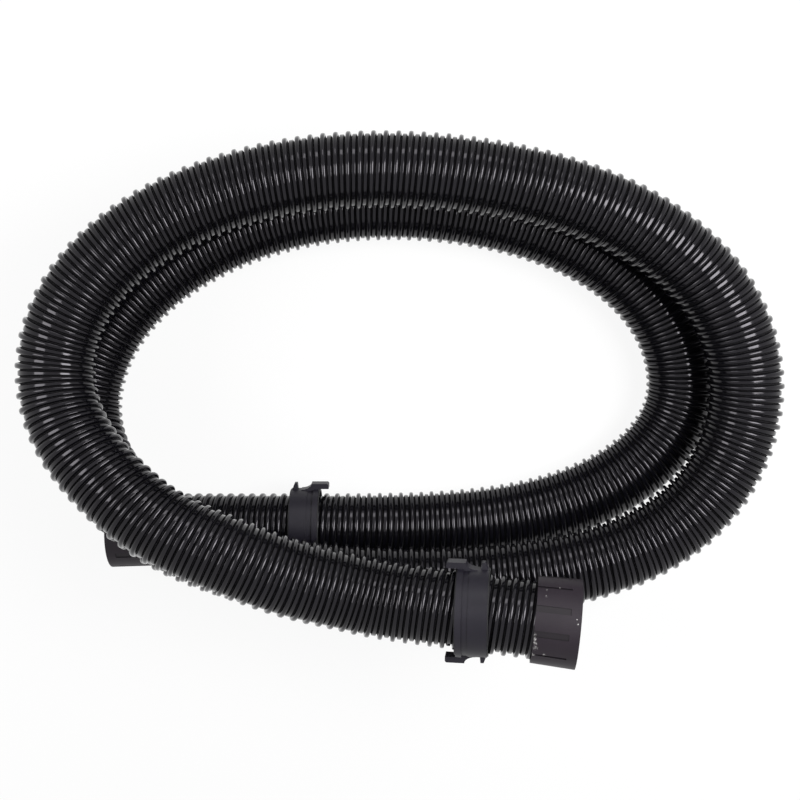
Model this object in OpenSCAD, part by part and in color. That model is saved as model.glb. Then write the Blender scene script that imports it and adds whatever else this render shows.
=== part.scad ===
/* [Hose] */
// Bore of the hose, measured across the corners of its eight sides
bore_d = 38.4; // [36:0.2:40]
// Wall between the bore and the valley between two ribs
wall_t = 1.3; // [0.8:0.1:1.8]
// Height of a rib above the valley
rib_h = 2.15; // [1:0.05:3]
// Length of hose taken by one drawn rib
rib_pitch = 14; // [12:1:24]
// Drawn ribs on the straight-ended stretch behind cuff A
ribs_lead_a = 24; // [20:1:30]
// Drawn ribs on the straight-ended stretch behind cuff B
ribs_lead_b = 15; // [11:1:17]

/* [Cuffs] */
// Length of a cuff
cuff_len = 25; // [22:0.5:30]
// Gap between the hose and the skirt of a cuff
skirt_gap = 0.5; // [0.4:0.05:0.8]
// Wall of a cuff at the end where the hose enters
skirt_wall = 1.35; // [1.2:0.05:2]
// How much wider a cuff is at its mouth, in radius
cuff_flare = 0.8; // [0.4:0.1:1.2]
// Wall of a cuff round the socket in its mouth
mouth_wall = 5.3; // [4.5:0.1:6.5]
// Depth of the socket in the mouth
socket_depth = 8; // [6:0.5:9]
// Plain band left at the mouth beyond the grip grooves
plain_band = 5.8; // [3:0.2:8]
// Number of grip grooves round a cuff
grip_n = 11; // [6:1:12]
// Place of the first grip groove round a cuff, in degrees above the side that faces up
grip_start = 64; // [0:1:90]
// Width of the narrow grip grooves
grip_narrow_w = 1.3; // [0.8:0.1:2]
// Depth of the narrow grip grooves
grip_narrow_deep = 0.6; // [0.2:0.1:0.7]
// Width of the wide grip grooves
grip_wide_w = 3.7; // [2:0.1:5]
// Depth of the wide grip grooves
grip_wide_deep = 0.45; // [0.2:0.05:0.6]

/* [Swivel] */
// Length of the spigot that the hose is bonded on
spigot_len = 14; // [10:0.5:18]
// Wall of the spigot
spigot_wall = 1.6; // [1.2:0.1:2.5]
// Gap between the spigot and the flats of the bore
bond_gap = 0.3; // [0.2:0.05:0.5]
// Thickness of the flange that the cuff turns on
flange_t = 2; // [1.5:0.1:2.5]
// Thickness of the flat face seal
seal_t = 0.95; // [0.6:0.05:1.2]
// Width of the flat face seal
seal_w = 2.3; // [1.5:0.1:2.4]
// Margin between the flat face seal and the rim of the flange
seal_edge = 0.4; // [0.2:0.05:0.6]
// Width of the retaining ring along the axis
snap_w = 1.2; // [0.8:0.1:1.6]
// Depth of the retaining ring's groove in the skirt
snap_deep = 0.6; // [0.4:0.05:0.7]
// Running clearance of turning pieces
run_gap = 0.05; // [0.03:0.01:0.08]

/* [Locking rings] */
// Gap between the ribs and the bore of a collar
collar_gap = 0.9; // [0.85:0.05:1.2]
// Wall of a collar
collar_wall = 0.75; // [0.6:0.05:0.9]
// Thickness of the lip at each end of a collar
lip_t = 0.6; // [0.4:0.1:1]
// Height of the lips above the collar
lip_h = 0.5; // [0.3:0.05:0.8]
// Length of a locking ring
ring_len = 17.8; // [16:0.2:20]
// Wall of the band of a locking ring
band_wall = 1.05; // [0.9:0.05:1.4]
// Length of the band of a locking ring
band_len = 10.8; // [9:0.2:12]
// Wall in the step between the band and the flange
step_wall = 0.6; // [0.5:0.05:0.9]
// Thickness of the flange of a locking ring
ring_flange_t = 3.4; // [2:0.2:5]
// Wall of the flange of a locking ring
ring_flange_wall = 1.65; // [1.2:0.05:2]
// Height of the two lugs above the band
lug_h = 3.9; // [3:0.1:5]
// Width of a lug round the ring
lug_w = 9; // [6:0.5:11]
// Reach of a finger tab beyond the flange
tab_reach = 6.4; // [3:0.2:9]
// Gap between a finger tab and the hose
tab_gap = 3.25; // [1:0.05:3.6]
// Length of the hollow slope from a lug down to the band
lug_slope = 6.7; // [4:0.1:8]
// Height of the two small ears above the band
ear_h = 4; // [3:0.1:5]
// Width of an ear round the ring
ear_w = 5; // [3:0.5:7]
// Length of an ear along the axis at its foot
ear_foot = 4.1; // [3:0.1:6]
// Length of an ear along the axis at its tip
ear_tip = 1.8; // [1:0.1:2.6]
// Distance from the end of the hose to locking ring A
ring_a_back = 40; // [38:1:48]
// Angle at which locking ring A sits askew on the hose, in degrees
ring_a_skew = 4.5; // [0:0.5:4.5]
// Distance from the end of the hose to locking ring B
ring_b_back = 105.5; // [70:0.5:108]
// Sideways offset of locking ring B on the hose
ring_b_shift = 0.8; // [0:0.1:0.8]

/* [Hidden] */
$fn = 96;
eps = 0.01;
sides = 8;

// Route of the hose, before it is centred: the stretch behind cuff A
LEAD_A = [[90, -116, 127.7], [61.5, -113.46, 124.33], [36.5, -111.23, 121.37], [11.5, -109, 118.42],
          [-13.5, -106.77, 115.46], [-37, -100.2, 116.5], [-63, -94, 119.3], [-98, -79.3, 122.8],
          [-135.5, -64, 122], [-164.2, -42, 115.3], [-191.4, -13, 106]];
// Turning points of the coil: left, back, right, front, with the fullness of the quarter that follows
TURNS = [[-202.5, 21.5, 97, 1], [-11.5, 142.5, 71, 3], [214, 10, 63, 8], [10, -113, 64, -0.5],
         [-202, -6.5, 40, -0.5], [-11, 125, 21.5, 2], [185.5, 7.5, 21.5, 1], [20, -86, 21.5, 0]];
// Extra height of the quarter that crosses over the end behind cuff B
CROSS_QUARTER = 3;
CROSS_LIFT = 28;
// The stretch behind cuff B
LEAD_B = [[-4, -86, 24], [-29, -86, 26], [-54, -86, 26], [-79, -86, 26], [-104, -86, 26],
          [-129, -86, 26], [-153, -86, 26], [-176, -86, 26]];
QUARTER = 90;
QUARTER_STEPS = 5;

function unit(v) = v / norm(v);
// One point of a quarter turn from a to b, t in degrees
function quarter(a, b, t, across, lift) =
    let(s = sin(t), c = cos(t), m = sin(2 * t) * sin(2 * t),
        x = across ? a[0] + (b[0] - a[0]) * s : b[0] + (a[0] - b[0]) * c,
        y = across ? b[1] + (a[1] - b[1]) * c : a[1] + (b[1] - a[1]) * s,
        z = a[2] + (b[2] - a[2]) * (1 - cos(2 * t)) / 2 + lift * m)
    [x + sign(a[0] + b[0]) * a[3] * m, y + sign(a[1] + b[1]) * a[3] * m, z];
COIL = [for (q = [0:len(TURNS) - 2], k = [0:QUARTER_STEPS - 1])
        quarter(TURNS[q], TURNS[q + 1], QUARTER * k / QUARTER_STEPS, q % 2 == 1,
                q == CROSS_QUARTER ? CROSS_LIFT : 0)];
LAST = TURNS[len(TURNS) - 1];
ROUTE = concat(LEAD_A, COIL, [[LAST[0], LAST[1], LAST[2]]], LEAD_B);

// Smooth curve through the route, a cubic B-spline with eight steps to a point
CTRL = concat([2 * ROUTE[0] - ROUTE[1]], ROUTE, [2 * ROUTE[len(ROUTE) - 1] - ROUTE[len(ROUTE) - 2]]);
function spline(i, t) =
    (pow(1 - t, 3) * CTRL[i] + (3 * pow(t, 3) - 6 * t * t + 4) * CTRL[i + 1]
     + (-3 * pow(t, 3) + 3 * t * t + 3 * t + 1) * CTRL[i + 2] + pow(t, 3) * CTRL[i + 3]) / 6;
CURVE = concat([for (i = [0:len(ROUTE) - 2], k = [0:7]) spline(i, k / 8)], [ROUTE[len(ROUTE) - 1]]);
RUN = [for (i = 0, s = 0; i < len(CURVE);
            s = s + (i + 1 < len(CURVE) ? norm(CURVE[i + 1] - CURVE[i]) : 0), i = i + 1) s];
hose_len = RUN[len(RUN) - 1];
TX = [for (i = [0:len(CURVE) - 1]) [RUN[i], CURVE[i][0]]];
TY = [for (i = [0:len(CURVE) - 1]) [RUN[i], CURVE[i][1]]];
TZ = [for (i = [0:len(CURVE) - 1]) [RUN[i], CURVE[i][2]]];
function at(s) = [lookup(s, TX), lookup(s, TY), lookup(s, TZ)];

// Rings of the hose: a valley at each even place and a crest at each odd one
ribs = round(hose_len / rib_pitch);
step_len = hose_len / (2 * ribs);
MID = [for (i = [0:2 * ribs]) at(i * step_len)];
DIR = [for (i = [0:2 * ribs])
       unit(at(min(hose_len, (i + 0.5) * step_len)) - at(max(0, (i - 0.5) * step_len)))];
bore_r = bore_d / 2;
valley_r = bore_r + wall_t;
crest_r = valley_r + rib_h;
flat = cos(180 / sides);

// Levels in a cuff, along the local Z axis from the end of the hose
shoulder_z = flange_t + seal_t + run_gap;
mouth_z = shoulder_z + socket_depth;
tail_z = mouth_z - cuff_len;
skirt_r = crest_r + skirt_gap;
cuff_tail_r = skirt_r + skirt_wall;
cuff_mouth_r = cuff_tail_r + cuff_flare;
socket_r = cuff_mouth_r - mouth_wall;
flange_r = skirt_r - run_gap;
seal_out_r = flange_r - seal_edge;
seal_in_r = seal_out_r - seal_w;
snap_groove_r = skirt_r + snap_deep;
spigot_r = bore_r * flat - bond_gap;
snap_in_r = (crest_r + flange_r) / 2 - 0.1;

// Directions out of the two mouths
OUT_A = unit(ROUTE[0] - ROUTE[1]);
OUT_B = unit(ROUTE[len(ROUTE) - 1] - ROUTE[len(ROUTE) - 2]);

// The part stands centred on the origin
x_lo = min([for (p = MID) p[0]]) - crest_r * flat;
x_hi = max([for (p = MID) p[0]]) + crest_r * flat;
y_lo = ROUTE[0][1] + mouth_z * OUT_A[1] - cuff_mouth_r * sqrt(1 - OUT_A[1] * OUT_A[1]);
y_hi = max([for (p = MID) p[1]]) + crest_r * flat;
CENTRE = [-(x_lo + x_hi) / 2, -(y_lo + y_hi) / 2, 0];

function ring_pts(i, r) =
    let(d = DIR[i], side = unit(cross(d, [0, 0, 1])), up = cross(side, d))
    [for (j = [0:sides - 1])
     let(a = 180 / sides + j * 360 / sides, p = MID[i] + r * (cos(a) * side + sin(a) * up) + CENTRE)
     [p[0], p[1], max(0, p[2])]];

// A stretch of hose from ring i0 to ring i1, both in a valley, open from end to end
module hose(i0, i1) {
    n = i1 - i0;
    h = n / 2;
    outer = [for (i = [i0:i1]) each ring_pts(i, i % 2 == 0 ? valley_r : crest_r)];
    inner = [for (k = [0:h]) each ring_pts(i0 + 2 * k, bore_r)];
    o = len(outer);
    skin = [for (i = [0:n - 1], j = [0:sides - 1])
            let(a = i * sides + j, b = i * sides + (j + 1) % sides)
            each [[a, a + sides, b], [b, a + sides, b + sides]]];
    lining = [for (k = [0:h - 1], j = [0:sides - 1])
              let(a = o + k * sides + j, b = o + k * sides + (j + 1) % sides)
              each [[a, b, a + sides], [b, b + sides, a + sides]]];
    front = [for (j = [0:sides - 1])
             let(a = j, b = (j + 1) % sides)
             each [[a, b, o + a], [b, o + b, o + a]]];
    back = [for (j = [0:sides - 1])
            let(a = n * sides + j, b = n * sides + (j + 1) % sides,
                c = o + h * sides + j, d = o + h * sides + (j + 1) % sides)
            each [[a, c, b], [b, c, d]]];
    polyhedron(points = concat(outer, inner), faces = concat(skin, lining, front, back));
}

split_a = 2 * ribs_lead_a;
split_b = 2 * (ribs - ribs_lead_b);

// Least distance between two stretches of the hose that lie side by side
apart = 20;
least = min([for (i = [0:len(MID) - 1 - apart]) min([for (j = [i + apart:len(MID) - 1]) norm(MID[i] - MID[j])])]);
echo(hose_length = hose_len, ribs = ribs, least_gap = least - 2 * crest_r, centre = CENTRE);

// Frames at the two ends: the local Z axis runs out of the mouth of the cuff
END_A = ROUTE[0] + CENTRE;
END_B = ROUTE[len(ROUTE) - 1] + CENTRE;
module at_end(p, d) translate(p) rotate([0, acos(d[2]), atan2(d[1], d[0])]) children();
module at_a() at_end(END_A, OUT_A) children();
module at_b() at_end(END_B, OUT_B) children();

// Frames at the rims of the two locking rings that face the cuffs
module at_ring_a() at_a() translate([0, 0, -ring_a_back - ring_len / 2]) rotate([-ring_a_skew, 0, 0])
    translate([0, 0, ring_len / 2]) children();
module at_ring_b() at_b() translate([0, -ring_b_shift, -ring_b_back]) children();
function level(d) = unit([-d[1], d[0], 0]);
echo(ring_mid_a = END_A - (ring_a_back + ring_len / 2) * OUT_A,
     ring_axis_a = cos(ring_a_skew) * OUT_A + sin(ring_a_skew) * level(OUT_A),
     ring_mid_b = END_B - (ring_b_back + ring_len / 2) * OUT_B - ring_b_shift * level(OUT_B));

// Turned section: a closed outline of [radius, height] points
module turned(outline) rotate_extrude() polygon(outline);

echo(end_a = END_A, out_a = OUT_A, end_b = END_B, out_b = OUT_B, mouth_z = mouth_z,
     mouth_a = END_A + mouth_z * OUT_A, mouth_b = END_B + mouth_z * OUT_B);

module nipple() turned([[spigot_r - spigot_wall, -spigot_len], [spigot_r, -spigot_len], [spigot_r, 0],
                        [flange_r, 0], [flange_r, flange_t], [spigot_r - spigot_wall, flange_t]]);
module seal() turned([[seal_in_r, flange_t], [seal_out_r, flange_t],
                      [seal_out_r, flange_t + seal_t], [seal_in_r, flange_t + seal_t]]);
module snap_ring() turned([[snap_in_r, -run_gap - snap_w], [snap_groove_r, -run_gap - snap_w],
                           [snap_groove_r, -run_gap], [snap_in_r, -run_gap]]);
module cuff() difference() {
    turned([[skirt_r, tail_z], [cuff_tail_r, tail_z], [cuff_mouth_r, mouth_z], [socket_r, mouth_z],
            [socket_r, shoulder_z], [skirt_r, shoulder_z], [skirt_r, -run_gap],
            [snap_groove_r, -run_gap], [snap_groove_r, -run_gap - snap_w],
            [skirt_r, -run_gap - snap_w]]);
    for (k = [0:grip_n - 1]) {
        wide = k % 4 == 1 || k % 4 == 2;
        deep = wide ? grip_wide_deep : grip_narrow_deep;
        width = wide ? grip_wide_w : grip_narrow_w;
        slope = atan(cuff_flare / cuff_len);
        rotate([0, 0, 180 - grip_start + k * 360 / grip_n]) translate([cuff_tail_r - deep, -width / 2, tail_z])
            rotate([0, slope, 0]) translate([0, 0, -1]) cube([5, width, cuff_len - plain_band + 1]);
    }
}

// A collar on the ribs and the locking ring that turns on it, from the rim that faces the cuff
collar_in_r = crest_r + collar_gap;
collar_r = collar_in_r + collar_wall;
ring_bore_r = collar_r + run_gap;
band_r = ring_bore_r + band_wall;
step_r = ring_bore_r + step_wall;
ring_flange_r = ring_bore_r + ring_flange_wall;
lug_r = band_r + lug_h;
ear_r = band_r + ear_h;
module collar() turned([
    [collar_in_r, -ring_len - run_gap - lip_t], [collar_r + lip_h, -ring_len - run_gap - lip_t],
    [collar_r + lip_h, -ring_len - run_gap], [collar_r, -ring_len - run_gap], [collar_r, run_gap],
    [collar_r + lip_h, run_gap], [collar_r + lip_h, run_gap + lip_t],
    [collar_in_r, run_gap + lip_t]]);

tab_in_r = crest_r + tab_gap;
slope_end = -(ring_len - ring_flange_t - lug_slope - 1.3);
lug_top = slope_end - lug_slope;
foot_r = (ring_bore_r + step_r) / 2;
LUG = concat([[-ring_len, foot_r], [-ring_len, tab_in_r], [-ring_len - tab_reach, tab_in_r],
              [-ring_len - tab_reach, lug_r - 0.8], [-ring_len - tab_reach + 0.8, lug_r]],
             [for (t = [0:15:90]) [slope_end - lug_slope * cos(t), lug_r - (lug_r - band_r) * sin(t)]],
             [[slope_end, foot_r]]);
EAR = [[-ear_foot - 0.3, foot_r], [-ear_foot + 0.2, ear_r], [-ear_foot + 0.2 + ear_tip, ear_r],
       [-0.3, foot_r]];
module fin(outline, width) rotate([0, -90, 0]) linear_extrude(width, center = true) polygon(outline);
module lock_ring() difference() {
    union() {
        turned([[ring_bore_r, -ring_len], [ring_flange_r, -ring_len],
                [ring_flange_r, -ring_len + ring_flange_t], [step_r, -ring_len + ring_flange_t],
                [step_r, -band_len], [band_r, -band_len], [band_r, 0], [ring_bore_r, 0]]);
        for (a = [0, 180]) rotate([0, 0, a]) {
            fin(LUG, lug_w);
            fin(EAR, ear_w);
        }
    }
    translate([0, 0, -ring_len - eps]) cylinder(r = ring_bore_r, h = ring_len + 2 * eps);
}

module hose_lead_a() color([0.07, 0.07, 0.08]) hose(0, split_a);
module hose_coil() color([0.07, 0.07, 0.08]) hose(split_a, split_b);
module hose_lead_b() color([0.07, 0.07, 0.08]) hose(split_b, 2 * ribs);
module nipple_a() color([0.16, 0.16, 0.17]) at_a() nipple();
module seal_a() color([0.05, 0.05, 0.05]) at_a() seal();
module cuff_a() color([0.24, 0.24, 0.24]) at_a() cuff();
module snap_ring_a() color([0.3, 0.3, 0.31]) at_a() snap_ring();
module collar_a() color([0.14, 0.14, 0.15]) at_ring_a() collar();
module lock_ring_a() color([0.22, 0.22, 0.22]) at_ring_a() lock_ring();
module nipple_b() color([0.16, 0.16, 0.17]) at_b() nipple();
module seal_b() color([0.05, 0.05, 0.05]) at_b() seal();
module cuff_b() color([0.24, 0.24, 0.24]) at_b() cuff();
module snap_ring_b() color([0.3, 0.3, 0.31]) at_b() snap_ring();
module collar_b() color([0.14, 0.14, 0.15]) at_ring_b() collar();
module lock_ring_b() color([0.22, 0.22, 0.22]) at_ring_b() lock_ring();

hose_lead_a();
hose_coil();
hose_lead_b();
nipple_a();
seal_a();
cuff_a();
snap_ring_a();
collar_a();
lock_ring_a();
nipple_b();
seal_b();
cuff_b();
snap_ring_b();
collar_b();
lock_ring_b();
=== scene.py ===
import math

import bpy
import numpy as np
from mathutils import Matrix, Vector


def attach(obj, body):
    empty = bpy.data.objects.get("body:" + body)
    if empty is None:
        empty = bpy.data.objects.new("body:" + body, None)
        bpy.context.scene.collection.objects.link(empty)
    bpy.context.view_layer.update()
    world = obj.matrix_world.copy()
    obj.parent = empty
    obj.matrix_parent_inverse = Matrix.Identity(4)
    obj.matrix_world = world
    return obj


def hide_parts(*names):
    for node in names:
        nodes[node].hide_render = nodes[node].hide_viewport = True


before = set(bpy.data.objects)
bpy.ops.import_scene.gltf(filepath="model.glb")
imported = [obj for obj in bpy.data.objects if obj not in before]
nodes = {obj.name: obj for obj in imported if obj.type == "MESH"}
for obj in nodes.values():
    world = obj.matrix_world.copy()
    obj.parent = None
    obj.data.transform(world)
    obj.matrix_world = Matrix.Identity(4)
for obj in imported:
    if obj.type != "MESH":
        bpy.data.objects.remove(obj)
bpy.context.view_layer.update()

MM = 0.001
scene = bpy.context.scene


def place(name, data):
    o = bpy.data.objects.new(name, data)
    bpy.context.collection.objects.link(o)
    return o


# ---------------------------------------------------------------- camera
# what the CAD adds to the points of its route, so that its box is centred on the origin, mm
CENTRE = np.array([-6.00251, -9.69747, 0.0])
CAMERA_PLACE = np.array([0.0, 85.7, 737.7])
CAMERA_TILT = math.radians(-7.0)

cam_data = bpy.data.cameras.new("camera")
cam_data.lens = 50.0
cam_data.sensor_width = 36.0
cam_data.clip_start = 0.01
cam_data.clip_end = 50.0
camera = place("camera", cam_data)
camera.location = tuple((CAMERA_PLACE + CENTRE) * MM)
camera.rotation_euler = (CAMERA_TILT, 0.0, 0.0)
scene.camera = camera

# ---------------------------------------------------------------- route of the hose, as in the CAD, mm
LEAD_A = [(90, -116, 127.7), (61.5, -113.46, 124.33), (36.5, -111.23, 121.37), (11.5, -109, 118.42),
          (-13.5, -106.77, 115.46), (-37, -100.2, 116.5), (-63, -94, 119.3), (-98, -79.3, 122.8),
          (-135.5, -64, 122), (-164.2, -42, 115.3), (-191.4, -13, 106)]
# the middles of the coil's sides, a quarter of a turn apart: x, y, z and bulge of the quarter after it
TURNS = [(-202.5, 21.5, 97, 1), (-11.5, 142.5, 71, 3), (214, 10, 63, 8), (10, -113, 64, -0.5),
         (-202, -6.5, 40, -0.5), (-11, 125, 21.5, 2), (185.5, 7.5, 21.5, 1), (20, -86, 21.5, 0)]
CROSS_QUARTER, CROSS_LIFT, QUARTER_STEPS = 3, 28, 5
LEAD_B = [(-4, -86, 24), (-29, -86, 26), (-54, -86, 26), (-79, -86, 26), (-104, -86, 26),
          (-129, -86, 26), (-153, -86, 26), (-176, -86, 26)]
SPLINE_STEPS = 24


def quarter(a, b, t, across, lift):
    """A point of the quarter turn from a to b; t is its angle, and across that a is at the back or front."""
    s, c, m = math.sin(t), math.cos(t), math.sin(2 * t) ** 2
    x = a[0] + (b[0] - a[0]) * s if across else b[0] + (a[0] - b[0]) * c
    y = b[1] + (a[1] - b[1]) * c if across else a[1] + (b[1] - a[1]) * s
    z = a[2] + (b[2] - a[2]) * (1 - math.cos(2 * t)) / 2 + lift * m
    return (x + np.sign(a[0] + b[0]) * a[3] * m, y + np.sign(a[1] + b[1]) * a[3] * m, z)


def spline(points, steps):
    """A uniform cubic B-spline that starts and ends on the end points."""
    ctrl = np.vstack([2 * points[0] - points[1], points, 2 * points[-1] - points[-2]])
    out = []
    for i in range(len(points) - 1):
        for t in np.arange(steps) / steps:
            weights = np.array([(1 - t) ** 3, 3 * t ** 3 - 6 * t * t + 4,
                                -3 * t ** 3 + 3 * t * t + 3 * t + 1, t ** 3]) / 6
            out.append(weights @ ctrl[i:i + 4])
    out.append(points[-1])
    return np.array(out)


def unit(vectors):
    return vectors / np.linalg.norm(vectors, axis=1)[:, None]


coil = [quarter(TURNS[q], TURNS[q + 1], math.radians(90 * k / QUARTER_STEPS), q % 2 == 1,
                CROSS_LIFT if q == CROSS_QUARTER else 0)
        for q in range(len(TURNS) - 1) for k in range(QUARTER_STEPS)]
route = np.array(LEAD_A + coil + [TURNS[-1][:3]] + LEAD_B, float) + CENTRE
curve = spline(route, SPLINE_STEPS)
run = np.r_[0.0, np.cumsum(np.linalg.norm(np.diff(curve, axis=0), axis=1))]
LENGTH = run[-1]
tangent = unit(np.gradient(curve, run, axis=0))
side = unit(np.cross(tangent, (0.0, 0.0, 1.0)))
up = np.cross(side, tangent)

# ---------------------------------------------------------------- the ribbed hose
CREST_R, VALLEY_R, BORE_R, PITCH_WISH = 22.65, 20.5, 19.0, 7.0
RIBS = round(LENGTH / PITCH_WISH)
PITCH = LENGTH / RIBS
SKIN_SIDES, BORE_SIDES, PATH_POINTS = 64, 32, 240
# one rib from groove to groove: share of the pitch, share of the rib's height
PROFILE = [(0.0, -0.44), (0.035, -0.38), (0.065, -0.08), (0.088, 0.13), (0.118, 0.20), (0.16, 0.205),
           (0.24, 0.205), (0.32, 0.205), (0.362, 0.20), (0.392, 0.13), (0.415, -0.08), (0.445, -0.38),
           (0.485, -0.44), (0.525, -0.24), (0.55, 0.40), (0.58, 0.78), (0.63, 0.94), (0.74, 1.0),
           (0.85, 0.94), (0.90, 0.78), (0.93, 0.40), (0.955, -0.24)]
# where the painted shade in the grooves begins and how far down it is fully dark, in shares of the rib's
# height
GROOVE_SHADE_TOP, GROOVE_SHADE_FADE = 0.10, 0.35


def at(s, table):
    return np.stack([np.interp(s, run, table[:, k]) for k in range(3)], axis=-1)


def angles(sides):
    return np.linspace(0, 2 * np.pi, sides + 1)[:-1]


def around_hose(s, angle, radius):
    """Points at s along the hose, at an angle round it and a radius from its middle line."""
    cos, sin = np.cos(angle)[:, None], np.sin(angle)[:, None]
    return at(s, curve) + radius * (cos * at(s, side) + sin * at(s, up))


def skin():
    """The helical ribs: points, faces, and for each point the share of painted shade in the grooves, from 0
    to 1.
    """
    per = len(PROFILE)
    rows = (RIBS + 1) * per + 1
    rib, sample = np.divmod(np.arange(rows), per)
    phase, height = np.array(PROFILE)[sample].T
    angle = angles(SKIN_SIDES)
    s = PITCH * (rib - 1 + phase)[:, None] + PITCH * angle / (2 * np.pi)
    radius = VALLEY_R + (CREST_R - VALLEY_R) * height
    points = around_hose(np.clip(s, 0, LENGTH), angle, radius[:, None, None])
    # nothing sinks into the floor
    points[..., 2] = np.maximum(points[..., 2], 0.0)

    row, column = np.meshgrid(np.arange(rows - per), np.arange(SKIN_SIDES), indexing="ij")
    # the last column joins the first one a whole pitch further on
    next_row = np.where(column + 1 == SKIN_SIDES, row + per, row)
    next_column = (column + 1) % SKIN_SIDES
    quads = np.stack([row * SKIN_SIDES + column, (row + 1) * SKIN_SIDES + column,
                      (next_row + 1) * SKIN_SIDES + next_column,
                      next_row * SKIN_SIDES + next_column], axis=-1)
    quads = quads[next_row + 1 < rows]
    beyond = ((s < 0) | (s > LENGTH)).reshape(-1)
    quads = quads[~beyond[quads].all(axis=1)]
    # painted shade: the grooves between the ribs darken from where they begin down to full dark
    painted_groove_shade = np.clip((GROOVE_SHADE_TOP - height) / GROOVE_SHADE_FADE, 0, 1)
    return points.reshape(-1, 3), quads, np.repeat(painted_groove_shade, SKIN_SIDES)


def ring_faces(first, second):
    """Faces between two rings of BORE_SIDES points, each given by the number of its first point."""
    m = np.arange(BORE_SIDES)
    n = (m + 1) % BORE_SIDES
    return np.stack([first + m, first + n, second + n, second + m], axis=-1)


def hose_mesh():
    points, quads, painted_groove_shade = skin()
    # the smooth bore, in a ring for each rib, and the two end faces
    angle = angles(BORE_SIDES)
    bore = around_hose(np.linspace(0, LENGTH, RIBS + 1)[:, None], angle, BORE_R)
    rims = around_hose(np.array([[0], [LENGTH]]), angle, VALLEY_R)
    first_ring = len(points)
    last_ring = first_ring + RIBS * BORE_SIDES
    first_rim = last_ring + BORE_SIDES
    last_rim = first_rim + BORE_SIDES
    faces = [quads]
    for ring in range(first_ring, last_ring, BORE_SIDES):
        faces.append(ring_faces(ring, ring + BORE_SIDES))
    faces.append(ring_faces(first_ring, first_rim)[:, ::-1])
    faces.append(ring_faces(last_ring, last_rim))
    verts = np.vstack([points, bore.reshape(-1, 3), rims.reshape(-1, 3)])

    mesh = bpy.data.meshes.new("hose")
    mesh.from_pydata((verts * MM).tolist(), [], np.vstack(faces).tolist())
    mesh.update()
    mesh.polygons.foreach_set("use_smooth", [True] * len(mesh.polygons))
    # the painted shade of the grooves, kept on the points for the hose's material; the bore and rims get
    # none
    groove = np.zeros(len(verts))
    groove[:len(painted_groove_shade)] = painted_groove_shade
    mesh.attributes.new("groove", "FLOAT", "POINT").data.foreach_set("value", groove)
    return mesh


hose = place("ribbed_hose", hose_mesh())
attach(hose, "hose")
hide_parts("hose_lead_a", "hose_coil", "hose_lead_b")


# ---------------------------------------------------------------- shader nodes
def material(name):
    m = bpy.data.materials.new(name)
    m.use_nodes = True
    nt = m.node_tree
    bsdf = next(n for n in nt.nodes if n.type == "BSDF_PRINCIPLED")
    return m, nt, bsdf


def feed(nt, socket, value):
    """Link an output to a socket, or set a constant on it."""
    if isinstance(value, bpy.types.NodeSocket):
        nt.links.new(value, socket)
    else:
        socket.default_value = value


def object_point(nt):
    return nt.nodes.new("ShaderNodeTexCoord").outputs["Object"]


def noise(nt, point, scale, detail, rough):
    n = nt.nodes.new("ShaderNodeTexNoise")
    for key, v in (("Vector", point), ("Scale", scale), ("Detail", detail), ("Roughness", rough)):
        feed(nt, n.inputs[key], v)
    return n.outputs["Fac"]


def math_node(nt, op, a, b, clamp=False):
    n = nt.nodes.new("ShaderNodeMath")
    n.operation = op
    n.use_clamp = clamp
    feed(nt, n.inputs[0], a)
    feed(nt, n.inputs[1], b)
    return n.outputs[0]


def vec_node(nt, op, a, b=None, out="Vector"):
    n = nt.nodes.new("ShaderNodeVectorMath")
    n.operation = op
    feed(nt, n.inputs[0], a)
    if b is not None:
        feed(nt, n.inputs[1], b)
    return n.outputs[out]


def spread(nt, src, lo, hi, to_lo, to_hi):
    """The source's range from lo to hi, mapped on the range from to_lo to to_hi and clamped to it."""
    n = nt.nodes.new("ShaderNodeMapRange")
    for key, v in (("Value", src), ("From Min", lo), ("From Max", hi), ("To Min", to_lo), ("To Max", to_hi)):
        feed(nt, n.inputs[key], v)
    return n.outputs["Result"]


def mix_colour(nt, fac, a, colour):
    """Between the colour output a and a fixed colour."""
    n = nt.nodes.new("ShaderNodeMix")
    n.data_type = "RGBA"
    for k, v in ((0, fac), (6, a), (7, (*colour, 1))):
        feed(nt, n.inputs[k], v)
    return n.outputs[2]


def two_tones(nt, src, tones):
    r = nt.nodes.new("ShaderNodeValToRGB")
    for stop, position, tone in zip(r.color_ramp.elements, (0.3, 0.75), tones):
        stop.position = position
        stop.color = (*tone, 1)
    nt.links.new(src, r.inputs["Fac"])
    return r.outputs["Color"]


def uneven(nt, src, roughness):
    return spread(nt, src, 0.25, 0.8, *roughness)


def grain(nt, bsdf, point, scale, strength, height_mm):
    """The fine grain of a moulded surface."""
    b = nt.nodes.new("ShaderNodeBump")
    b.inputs["Strength"].default_value = strength
    b.inputs["Distance"].default_value = height_mm * MM
    nt.links.new(noise(nt, point, scale, 3.0, 0.6), b.inputs["Height"])
    nt.links.new(b.outputs["Normal"], bsdf.inputs["Normal"])


def seen_rays(nt):
    """1 for what the camera sees directly, in gloss and through glass."""
    lp = nt.nodes.new("ShaderNodeLightPath")
    direct = math_node(nt, "MAXIMUM", lp.outputs["Is Camera Ray"], lp.outputs["Is Glossy Ray"])
    return math_node(nt, "MAXIMUM", direct, lp.outputs["Is Transmission Ray"])


# ---------------------------------------------------------------- gloss black of the hose, with painted shade in its grooves
HOSE_TONES = (0.0018, 0.0017, 0.0026), (0.0036, 0.0034, 0.0050)
# the near black of the painted shade in the grooves between the ribs
HOSE_GROOVE_SHADE_TONE = (0.0008, 0.0008, 0.0010)
HOSE_ROUGHNESS, HOSE_GROOVE_ROUGHNESS = (0.10, 0.16), 0.9
# lower than that of real plastic, as the white surroundings are brighter here than in the photograph
HOSE_IOR, CHARCOAL_IOR = 1.37, 1.33
HOSE_GLOSS_TINT = (0.97, 0.93, 1.0, 1)


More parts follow.
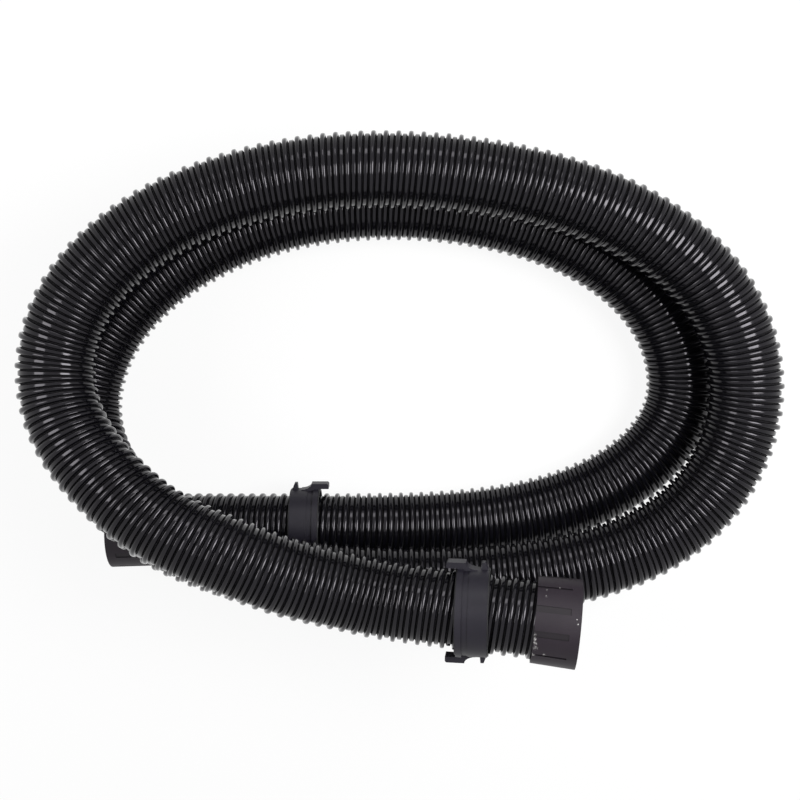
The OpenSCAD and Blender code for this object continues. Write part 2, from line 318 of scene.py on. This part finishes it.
def gloss_hose():
    m, nt, bsdf = material("hose_gloss_black")
    point = object_point(nt)
    big = noise(nt, point, 18.0, 3.0, 0.5)
    # painted shade: the base colour goes near black in the grooves, where the gloss is also dulled
    attribute = nt.nodes.new("ShaderNodeAttribute")
    attribute.attribute_name = "groove"
    groove = attribute.outputs["Fac"]
    colour = mix_colour(nt, groove, two_tones(nt, big, HOSE_TONES), HOSE_GROOVE_SHADE_TONE)
    nt.links.new(colour, bsdf.inputs["Base Color"])
    dull = math_node(nt, "MULTIPLY", groove, HOSE_GROOVE_ROUGHNESS)
    nt.links.new(math_node(nt, "MAXIMUM", uneven(nt, big, HOSE_ROUGHNESS), dull), bsdf.inputs["Roughness"])
    grain(nt, bsdf, point, 900.0, 0.15, 0.06)
    bsdf.inputs["IOR"].default_value = HOSE_IOR
    bsdf.inputs["Specular Tint"].default_value = HOSE_GLOSS_TINT
    return m


# ---------------------------------------------------------------- charcoal and other matt plastics
def charcoal(name, tones, roughness, shade_and_wear=None):
    m, nt, bsdf = material(name)
    point = object_point(nt)
    big = noise(nt, point, 45.0, 4.0, 0.55)
    colour = two_tones(nt, big, tones)
    # where given, painted shade and wear marks go on top of the tones, as on the cuffs
    if shade_and_wear is not None:
        colour = shade_and_wear(nt, point, colour)
    nt.links.new(colour, bsdf.inputs["Base Color"])
    nt.links.new(uneven(nt, big, roughness), bsdf.inputs["Roughness"])
    grain(nt, bsdf, point, 1600.0, 0.35, 0.08)
    bsdf.inputs["IOR"].default_value = CHARCOAL_IOR
    return m


# ---------------------------------------------------------------- painted shade in the grip grooves, and wear of the cuffs
CUFF_TAIL_Z, CUFF_LEN, CUFF_TAIL_R, CUFF_FLARE = -14.0, 25.0, 24.5, 0.8
CUFF_MOUTH_Z, CUFF_MOUTH_R = CUFF_TAIL_Z + CUFF_LEN, CUFF_TAIL_R + CUFF_FLARE
CUFF_TONES = (0.0095, 0.0062, 0.0100), (0.0145, 0.0100, 0.0150)
CUFF_ROUGHNESS = (0.46, 0.58)
# the near black of the painted shade in the grip grooves
GRIP_SHADE_TONE = (0.002, 0.002, 0.002)
# depths under the cuff's cone between which the grip grooves darken with painted shade, in mm, and how much
# they do;
# the walls end above the floor
GRIP_FLOOR, GRIP_FLOOR_SHARE = (0.05, 0.15), 0.45
GRIP_WALL, GRIP_WALL_SHARE, GRIP_WALL_END = (0.05, 0.12), 0.5, (0.33, 0.43)
# light scuffs on cuff A: angle round the axis, height along it in mm, radius in mm
SCUFFS = [(183, -13.7, 1.3), (189, -13.4, 1.4), (195, -13.0, 1.5), (202, -12.3, 1.7), (214, -13.2, 1.5),
          (212, -7.2, 1.2), (121, -9.0, 0.8), (131, -9.3, 0.9), (115, -2.0, 0.6), (157, 8.4, 0.5),
          (163, 9.1, 0.6)]
SCUFF_TONE, SCUFF_SHARE, SCUFF_SOLID = (0.55, 0.54, 0.53), 0.85, 0.3


def end_frame(end, nearby):
    """Columns: the local X, Y and Z axes of a cuff; Z runs out of its mouth."""
    z = (end - nearby) / np.linalg.norm(end - nearby)
    y = np.cross((0.0, 0.0, 1.0), z)
    y /= np.linalg.norm(y)
    return np.stack([np.cross(y, z), y, z], axis=1)


def depth_shade(nt, depth, limits, start, stop):
    return spread(nt, depth, limits[0] * MM, limits[1] * MM, start, stop)


def scuff_mask(nt, point, end, axes, scuffs):
    """The noise of the wear, within the patches of the scuffs."""
    worn = 0.0
    for angle, high, size in scuffs:
        a = math.radians(angle)
        r = CUFF_TAIL_R + CUFF_FLARE * (high - CUFF_TAIL_Z) / CUFF_LEN
        spot = end + axes @ np.array([r * math.cos(a), r * math.sin(a), high])
        near = vec_node(nt, "DISTANCE", point, tuple(spot * MM), "Value")
        patch = spread(nt, near, SCUFF_SOLID * size * MM, size * MM, 1.0, 0.0)
        worn = math_node(nt, "MAXIMUM", worn, patch)
    marks = noise(nt, point, 1100.0, 5.0, 0.7)
    return math_node(nt, "MULTIPLY", worn, spread(nt, marks, 0.50, 0.56, 0.0, SCUFF_SHARE))


# painted shade in the cuff's grip grooves, and light scuffs of wear on it
def cuff_shade_and_wear(end, nearby, scuffs):
    axes = end_frame(end, nearby)
    outward = tuple(axes[:, 2])

    def shade_and_wear(nt, point, colour):
        local = vec_node(nt, "SUBTRACT", point, tuple(end * MM))
        height = vec_node(nt, "DOT_PRODUCT", local, outward, "Value")
        along = nt.nodes.new("ShaderNodeVectorMath")
        along.operation = "SCALE"
        along.inputs[0].default_value = outward
        nt.links.new(height, along.inputs["Scale"])
        radius = vec_node(nt, "LENGTH", vec_node(nt, "SUBTRACT", local, along.outputs[0]), out="Value")
        cone = spread(nt, height, CUFF_TAIL_Z * MM, CUFF_MOUTH_Z * MM, CUFF_TAIL_R * MM, CUFF_MOUTH_R * MM)
        depth = math_node(nt, "SUBTRACT", cone, radius)
        # painted shade: the grip grooves darken by their depth under the cone, most on their walls
        floor_shade = depth_shade(nt, depth, GRIP_FLOOR, 0.0, GRIP_FLOOR_SHARE)
        wall_shade = math_node(nt, "MULTIPLY", depth_shade(nt, depth, GRIP_WALL, 0.0, GRIP_WALL_SHARE),
                               depth_shade(nt, depth, GRIP_WALL_END, 1.0, 0.0))
        shade = math_node(nt, "ADD", floor_shade, wall_shade, clamp=True)
        colour = mix_colour(nt, shade, colour, GRIP_SHADE_TONE)
        if scuffs:
            colour = mix_colour(nt, scuff_mask(nt, point, end, axes, scuffs), colour, SCUFF_TONE)
        return colour
    return shade_and_wear


# ---------------------------------------------------------------- dressing the pieces
def dress(name, mat):
    o = nodes[name]
    if not o.material_slots:
        o.data.materials.append(mat)
    for slot in o.material_slots:
        slot.material = mat


hose_mat = gloss_hose()
hose.data.materials.append(hose_mat)
for name in ("hose_lead_a", "hose_coil", "hose_lead_b"):
    dress(name, hose_mat)

fitting_mats = {
    "lock_ring": charcoal("ring_charcoal", ((0.0065, 0.0056, 0.0098), (0.0110, 0.0096, 0.0150)),
                          (0.40, 0.52)),
    "collar": charcoal("collar_dark", ((0.018, 0.018, 0.019), (0.026, 0.026, 0.027)), (0.45, 0.6)),
    "nipple": charcoal("insert_dark", ((0.026, 0.026, 0.028), (0.036, 0.036, 0.038)), (0.5, 0.62)),
    "snap_ring": charcoal("snap_ring_grey", ((0.055, 0.055, 0.057), (0.07, 0.07, 0.072)), (0.4, 0.5)),
    "seal": charcoal("seal_rubber", ((0.013, 0.013, 0.013), (0.019, 0.019, 0.019)), (0.75, 0.85))}
for end, mat_name, tip, nearby, scuffs in (("a", "cuff_charcoal", route[0], route[1], SCUFFS),
                                           ("b", "cuff_b_charcoal", route[-1], route[-2], [])):
    dress("cuff_" + end, charcoal(mat_name, CUFF_TONES, CUFF_ROUGHNESS, cuff_shade_and_wear(tip, nearby, scuffs)))
    for part, mat in fitting_mats.items():
        dress(part + "_" + end, mat)

# ---------------------------------------------------------------- floor and world
FLOOR_HALF, FLOOR_Z = 6.0, -0.0004
FLOOR_COLOUR, FLOOR_ROUGHNESS = (0.86, 0.86, 0.86, 1), 0.6
WHITE = (1, 1, 1, 1)
# share of plain white in what is seen of the floor, and the world's strength as light and as seen
FLOOR_GLOW, WORLD_LIGHT, WORLD_SEEN = 0.90, 0.18, 1.0


def white_floor():
    m, nt, bsdf = material("floor_white")
    bsdf.inputs["Base Color"].default_value = FLOOR_COLOUR
    bsdf.inputs["Roughness"].default_value = FLOOR_ROUGHNESS
    emit = nt.nodes.new("ShaderNodeEmission")
    emit.inputs["Color"].default_value = WHITE
    mixer = nt.nodes.new("ShaderNodeMixShader")
    nt.links.new(math_node(nt, "MULTIPLY", seen_rays(nt), FLOOR_GLOW), mixer.inputs["Fac"])
    nt.links.new(bsdf.outputs[0], mixer.inputs[1])
    nt.links.new(emit.outputs[0], mixer.inputs[2])
    out = next(n for n in nt.nodes if n.type == "OUTPUT_MATERIAL")
    nt.links.new(mixer.outputs[0], out.inputs["Surface"])
    return m


floor_mesh = bpy.data.meshes.new("floor")
floor_corners = [(x * FLOOR_HALF, y * FLOOR_HALF, FLOOR_Z) for x, y in ((-1, -1), (1, -1), (1, 1), (-1, 1))]
floor_mesh.from_pydata(floor_corners, [], [(0, 1, 2, 3)])
floor = place("floor", floor_mesh)
floor.data.materials.append(white_floor())

world = bpy.data.worlds.new("world")
scene.world = world
world.use_nodes = True
world_nt = world.node_tree
background = next(n for n in world_nt.nodes if n.type == "BACKGROUND")
background.inputs["Color"].default_value = WHITE
world_nt.links.new(spread(world_nt, seen_rays(world_nt), 0.0, 1.0, WORLD_LIGHT, WORLD_SEEN),
                   background.inputs["Strength"])

# ---------------------------------------------------------------- lamps
LAMP_TARGET = Vector((0, 0, 0.05))


def softbox(name, location, size, power):
    d = bpy.data.lights.new(name, "AREA")
    d.shape = "RECTANGLE"
    d.size, d.size_y = size
    d.energy = power
    o = place(name, d)
    o.location = location
    o.rotation_euler = (LAMP_TARGET - Vector(location)).to_track_quat("-Z", "Y").to_euler()


softbox("softbox_right", (0.46, 0.14, 0.70), (0.40, 0.44), 8.4)
softbox("softbox_left", (-0.70, 0.14, 0.80), (0.40, 0.46), 4.5)
softbox("softbox_back", (0.1, 1.45, 0.95), (0.7, 0.45), 4.5)

scene.view_settings.view_transform = "Standard"
